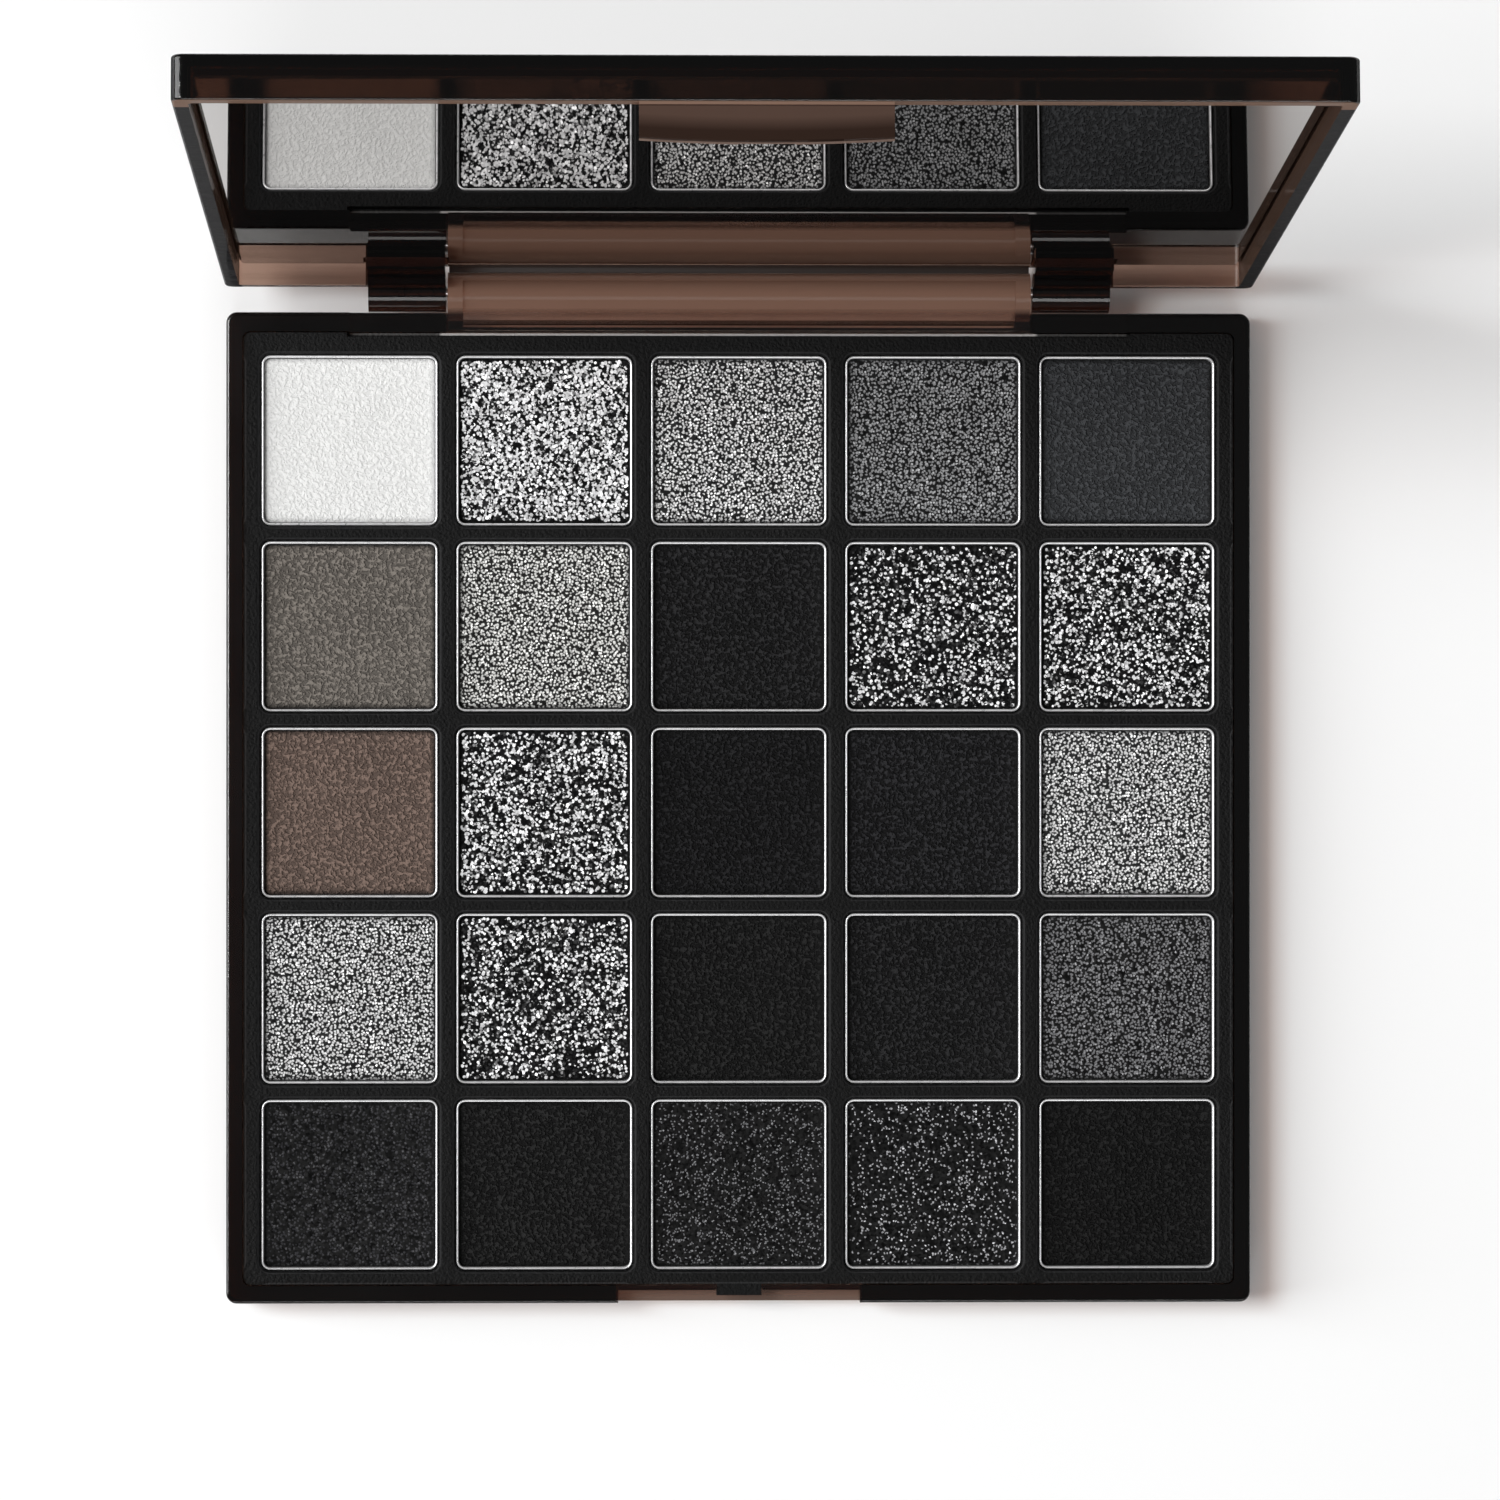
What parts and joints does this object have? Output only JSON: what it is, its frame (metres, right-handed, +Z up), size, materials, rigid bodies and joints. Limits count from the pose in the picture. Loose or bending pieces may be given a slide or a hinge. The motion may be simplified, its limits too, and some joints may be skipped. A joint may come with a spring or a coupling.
{
  "type": "eyeshadow palette",
  "caption": "Flat square make-up case with a grid of pressed powders in metal pans and a hinged lid that holds a full-size mirror.",
  "frame": {"origin": "middle of the flat underside of the base", "axes": "+Z up, +X across to the user's right, +Y towards the hinge at the back; the latch is at -Y, and the lid stands open at rest"},
  "size_m": [0.15, 0.1682, 0.1577],
  "materials": {
    "smoke_base": "clear smoke-brown, polished",
    "smoke_lid": "clear smoke-brown, polished",
    "black_tray": "fine grained black",
    "pan_metal": "drawn metal",
    "mirror_glass": "silvered",
    "black_tape": "matt foam tape",
    "pin_steel": "drawn steel",
    "glue": "set glue",
    "label": "blank printed film",
    "powder_1_1": "matte white, pressed powder",
    "powder_1_2": "silver glitter, pressed powder",
    "powder_1_3": "grey shimmer, pressed powder",
    "powder_1_4": "dark grey shimmer, pressed powder",
    "powder_1_5": "charcoal satin, pressed powder",
    "powder_2_1": "matte taupe, pressed powder",
    "powder_2_2": "silver shimmer, pressed powder",
    "powder_2_3": "matte black, pressed powder",
    "powder_2_4": "dark glitter, pressed powder",
    "powder_2_5": "dark glitter, pressed powder",
    "powder_3_1": "matte brown, pressed powder",
    "powder_3_2": "steel glitter, pressed powder",
    "powder_3_3": "matte black, pressed powder",
    "powder_3_4": "black satin, pressed powder",
    "powder_3_5": "silver shimmer, pressed powder",
    "powder_4_1": "grey shimmer, pressed powder",
    "powder_4_2": "dark glitter, pressed powder",
    "powder_4_3": "matte black, pressed powder",
    "powder_4_4": "matte black, pressed powder",
    "powder_4_5": "dark shimmer, pressed powder",
    "powder_5_1": "charcoal shimmer, pressed powder",
    "powder_5_2": "matte black, pressed powder",
    "powder_5_3": "black with fine sparkle, pressed powder",
    "powder_5_4": "black sparkle, pressed powder",
    "powder_5_5": "matte black, pressed powder"
  },
  "bodies": {
    "base": {"base_shell": "smoke_base", "pan_tray": "black_tray", "pan_glue_dots": "glue", "bottom_label": "label", "hinge_pin_left": "pin_steel", "hinge_pin_right": "pin_steel", "powder_row1_col1": "powder_1_1", "pan_row1_col1": "pan_metal", "powder_row1_col2": "powder_1_2", "pan_row1_col2": "pan_metal", "powder_row1_col3": "powder_1_3", "pan_row1_col3": "pan_metal", "powder_row1_col4": "powder_1_4", "pan_row1_col4": "pan_metal", "powder_row1_col5": "powder_1_5", "pan_row1_col5": "pan_metal", "powder_row2_col1": "powder_2_1", "pan_row2_col1": "pan_metal", "powder_row2_col2": "powder_2_2", "pan_row2_col2": "pan_metal", "powder_row2_col3": "powder_2_3", "pan_row2_col3": "pan_metal", "powder_row2_col4": "powder_2_4", "pan_row2_col4": "pan_metal", "powder_row2_col5": "powder_2_5", "pan_row2_col5": "pan_metal", "powder_row3_col1": "powder_3_1", "pan_row3_col1": "pan_metal", "powder_row3_col2": "powder_3_2", "pan_row3_col2": "pan_metal", "powder_row3_col3": "powder_3_3", "pan_row3_col3": "pan_metal", "powder_row3_col4": "powder_3_4", "pan_row3_col4": "pan_metal", "powder_row3_col5": "powder_3_5", "pan_row3_col5": "pan_metal", "powder_row4_col1": "powder_4_1", "pan_row4_col1": "pan_metal", "powder_row4_col2": "powder_4_2", "pan_row4_col2": "pan_metal", "powder_row4_col3": "powder_4_3", "pan_row4_col3": "pan_metal", "powder_row4_col4": "powder_4_4", "pan_row4_col4": "pan_metal", "powder_row4_col5": "powder_4_5", "pan_row4_col5": "pan_metal", "powder_row5_col1": "powder_5_1", "pan_row5_col1": "pan_metal", "powder_row5_col2": "powder_5_2", "pan_row5_col2": "pan_metal", "powder_row5_col3": "powder_5_3", "pan_row5_col3": "pan_metal", "powder_row5_col4": "powder_5_4", "pan_row5_col4": "pan_metal", "powder_row5_col5": "powder_5_5", "pan_row5_col5": "pan_metal"},
    "lid": {"lid_shell": "smoke_lid", "mirror": "mirror_glass", "mirror_tape": "black_tape"}
  },
  "joints": [
    {"name": "lid_hinge", "type": "hinge", "parent": "base", "child": "lid", "pos_m": [0, 0.0755, 0.0101], "axis": [1, 0, 0], "range_deg": [0, 95.5]}
  ]
}
